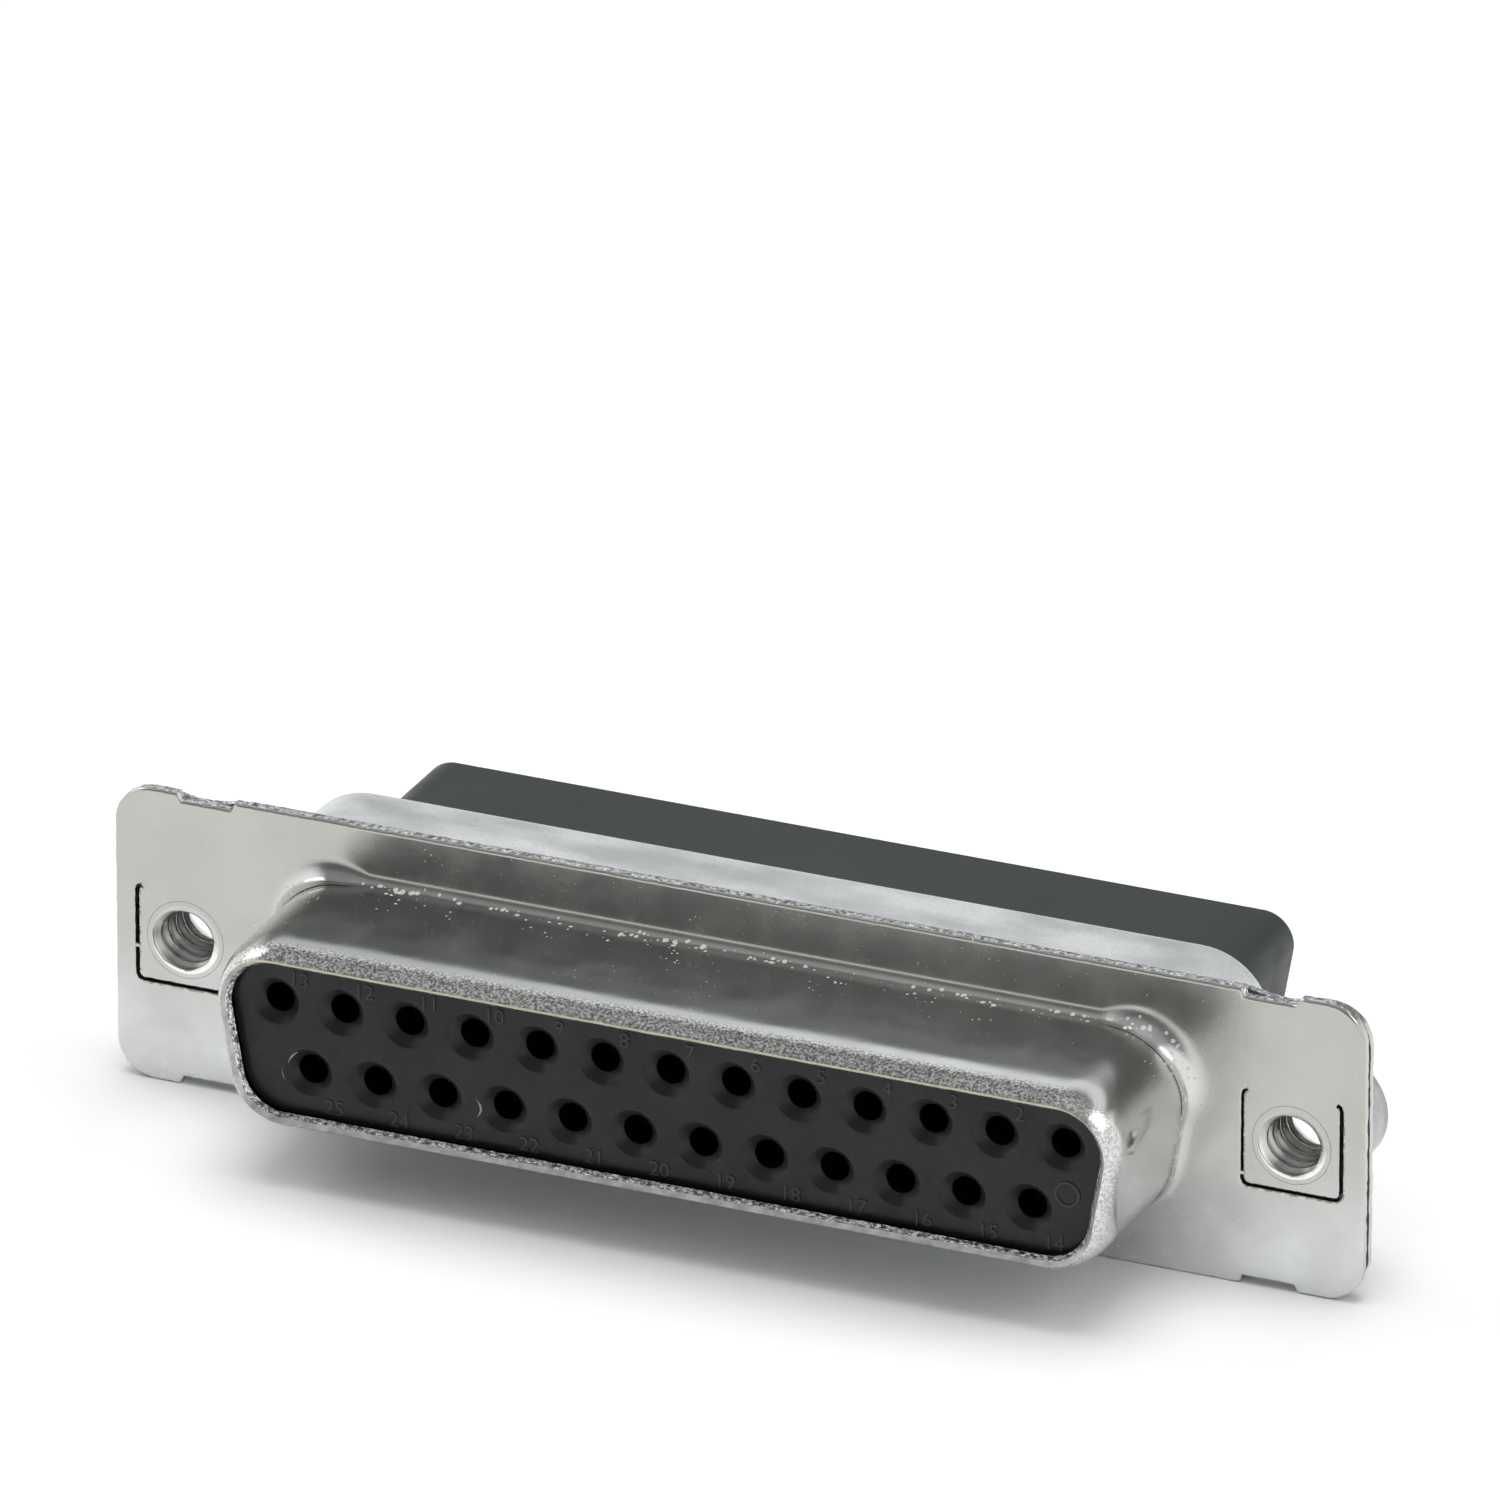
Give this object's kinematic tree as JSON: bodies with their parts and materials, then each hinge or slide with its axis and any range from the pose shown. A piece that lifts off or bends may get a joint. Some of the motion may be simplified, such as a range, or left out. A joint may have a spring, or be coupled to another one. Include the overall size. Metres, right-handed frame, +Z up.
{
  "type": "d-sub connector",
  "caption": "D-subminiature socket connector with a two-row contact face in a flanged tin-plated steel shell, threaded inserts and a long black body for crimped contacts.",
  "frame": {"origin": "centre of the flange's front face, midway between the two screw holes", "axes": "+X along the flange to the right as seen from the mating side, +Y to the wire side, +Z up towards the wide row of contacts"},
  "size_m": [0.053, 0.0194, 0.0126],
  "materials": {
    "tinned_steel": "bright tin plate over drawn steel",
    "tinned_steel_rear": "bright tin plate over drawn steel",
    "black_plastic": "moulded, satin black",
    "black_plastic_rear": "moulded, satin black",
    "insert_steel": "turned and plated",
    "gold_contact": "gold plate over turned brass"
  },
  "bodies": {
    "root": {"front_shell": "tinned_steel", "rear_shell": "tinned_steel_rear", "front_insulator": "black_plastic", "rear_insulator": "black_plastic_rear", "threaded_insert_left": "insert_steel", "threaded_insert_right": "insert_steel", "socket_contact_01": "gold_contact", "socket_contact_02": "gold_contact", "socket_contact_03": "gold_contact", "socket_contact_04": "gold_contact", "socket_contact_05": "gold_contact", "socket_contact_06": "gold_contact", "socket_contact_07": "gold_contact", "socket_contact_08": "gold_contact", "socket_contact_09": "gold_contact", "socket_contact_10": "gold_contact", "socket_contact_11": "gold_contact", "socket_contact_12": "gold_contact", "socket_contact_13": "gold_contact", "socket_contact_14": "gold_contact", "socket_contact_15": "gold_contact", "socket_contact_16": "gold_contact", "socket_contact_17": "gold_contact", "socket_contact_18": "gold_contact", "socket_contact_19": "gold_contact", "socket_contact_20": "gold_contact", "socket_contact_21": "gold_contact", "socket_contact_22": "gold_contact", "socket_contact_23": "gold_contact", "socket_contact_24": "gold_contact", "socket_contact_25": "gold_contact"}
  },
  "joints": []
}
